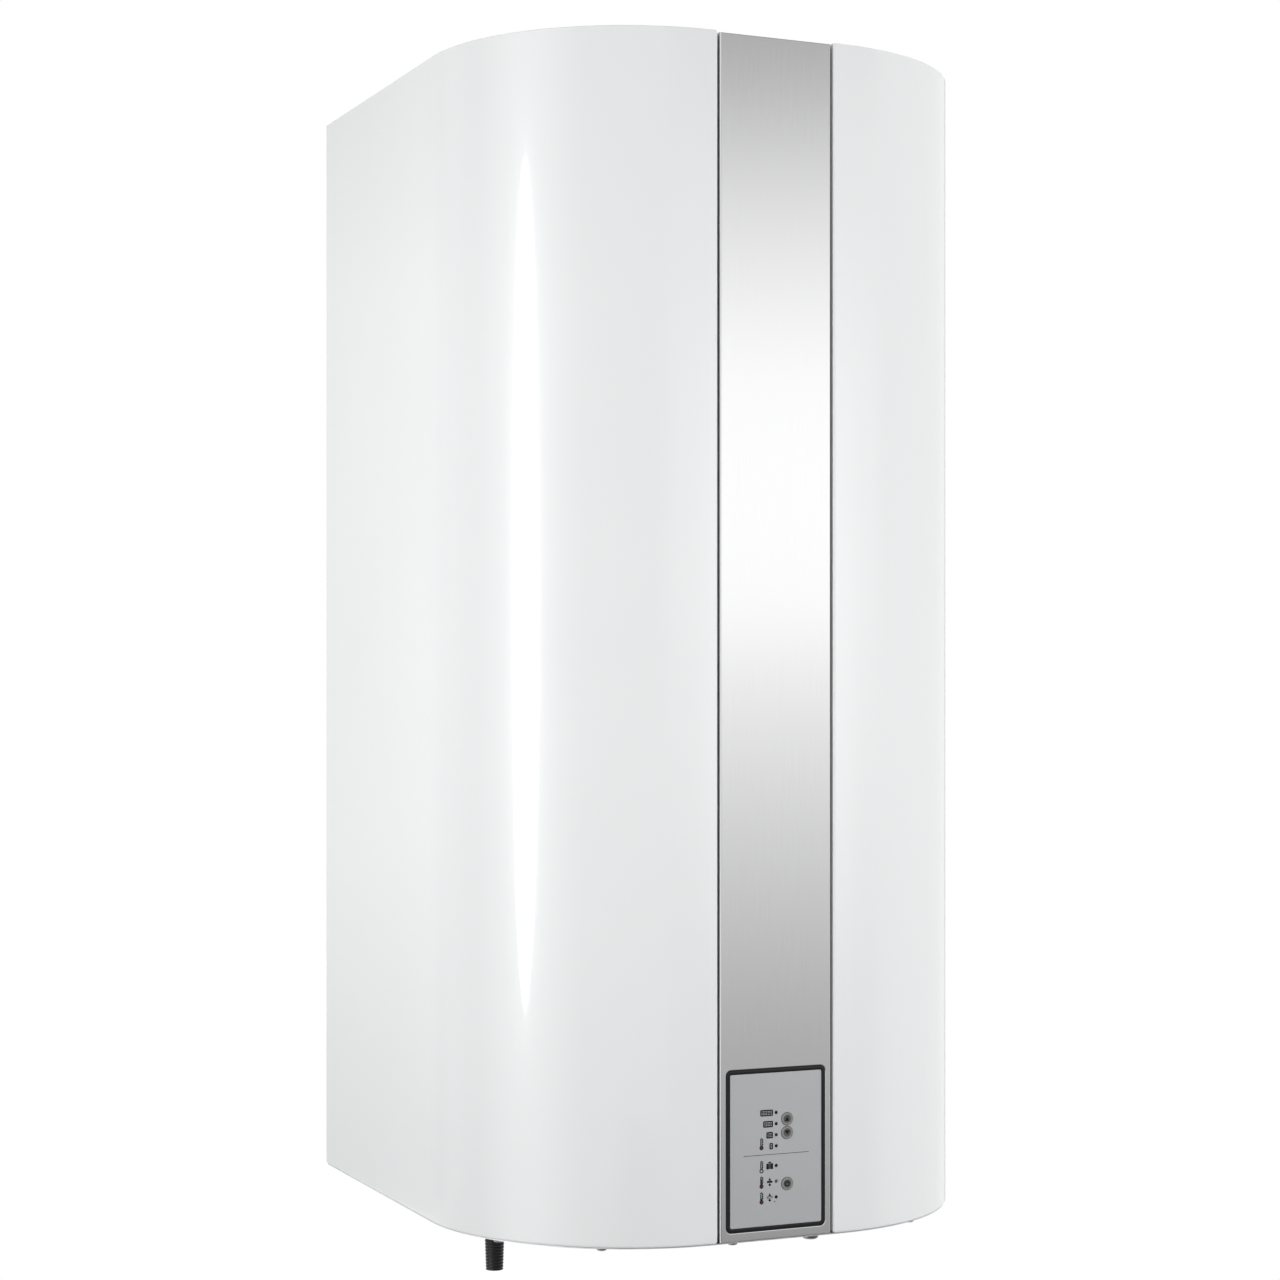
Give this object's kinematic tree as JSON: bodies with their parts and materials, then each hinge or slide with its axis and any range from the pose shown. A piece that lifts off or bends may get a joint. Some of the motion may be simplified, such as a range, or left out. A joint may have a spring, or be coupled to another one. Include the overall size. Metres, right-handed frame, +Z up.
{
  "type": "tank water heater",
  "caption": "Tall wall-hung electric storage water heater: two rounded side shells, a steel strip down the front, a low control panel, pipe spigots below and a hanging rail behind.",
  "frame": {"origin": "middle of the wall rail's four screw holes, on the wall plane", "axes": "+X to the right seen from the front, +Y into the wall, +Z up"},
  "size_m": [0.515, 0.528, 1.1286],
  "materials": {
    "white_paint": "gloss",
    "stainless": "satin",
    "zinc_plate": "satin",
    "galvanised": "satin",
    "black_rubber": "matte",
    "silver_panel": "satin",
    "key_grey": "satin",
    "lamp_dark": "gloss",
    "black_plastic": "satin",
    "white_plastic": "satin",
    "board_green": "satin",
    "tank_enamel": "satin",
    "foam": "matte",
    "sheath": "satin",
    "magnesium": "matte",
    "brass": "satin",
    "blue_plastic": "satin",
    "red_plastic": "satin",
    "wire_skin": "satin"
  },
  "bodies": {
    "heater": {"left_shell": "white_paint", "right_shell": "white_paint", "top_cover": "white_paint", "bottom_cover": "galvanised", "back_panel": "galvanised", "front_channel": "galvanised", "bulkhead_plate": "galvanised", "front_strip": "stainless", "panel_gasket": "black_rubber", "control_fascia": "silver_panel", "control_housing": "black_plastic", "control_board": "board_green", "key_switches": "black_plastic", "indicator_lenses": "lamp_dark", "board_screws": "zinc_plate", "housing_screws": "zinc_plate", "bottom_screws": "zinc_plate", "strip_screw": "zinc_plate", "back_screws": "zinc_plate", "tank_body": "tank_enamel", "foam_insulation": "foam", "tank_neck": "tank_enamel", "flange_gasket": "black_rubber", "element_flange": "zinc_plate", "flange_bolts": "zinc_plate", "heating_elements": "sheath", "element_terminals": "brass", "anode_rod": "magnesium", "anode_nut": "zinc_plate", "sensor_pockets": "sheath", "sensing_bulbs": "brass", "cold_pipe": "stainless", "hot_pipe": "stainless", "cold_nipple": "brass", "hot_nipple": "brass", "cold_diffuser": "white_plastic", "pipe_grommets": "black_rubber", "cold_ring": "blue_plastic", "hot_ring": "red_plastic", "cable_gland": "black_plastic", "gland_locknut": "black_plastic", "gland_sleeve": "black_rubber", "terminal_block": "white_plastic", "relay_box": "white_plastic", "relay_lid": "white_plastic", "thermal_cutout": "black_plastic", "earth_stud": "brass", "element_leads": "wire_skin", "supply_leads": "wire_skin", "control_cable": "wire_skin", "wall_rail": "galvanised", "hanger_bracket": "galvanised", "hanger_bolts": "zinc_plate", "tank_lugs": "tank_enamel", "wall_spacers": "black_rubber", "spacer_screws": "zinc_plate"},
    "up_key": {"up_button": "key_grey"},
    "down_key": {"down_button": "key_grey"},
    "mode_key": {"mode_button": "key_grey"},
    "reset": {"reset_button": "red_plastic"}
  },
  "joints": [
    {"name": "up_press", "type": "slide", "parent": "heater", "child": "up_key", "axis": [0, 1, 0], "range_m": [0, 0.0006], "stiffness_N_per_m": 900},
    {"name": "down_press", "type": "slide", "parent": "heater", "child": "down_key", "axis": [0, 1, 0], "range_m": [0, 0.0006], "stiffness_N_per_m": 900},
    {"name": "mode_press", "type": "slide", "parent": "heater", "child": "mode_key", "axis": [0, 1, 0], "range_m": [0, 0.0006], "stiffness_N_per_m": 900},
    {"name": "reset_press", "type": "slide", "parent": "heater", "child": "reset", "axis": [0, 0, 1], "range_m": [0, 0.002], "stiffness_N_per_m": 1200}
  ]
}
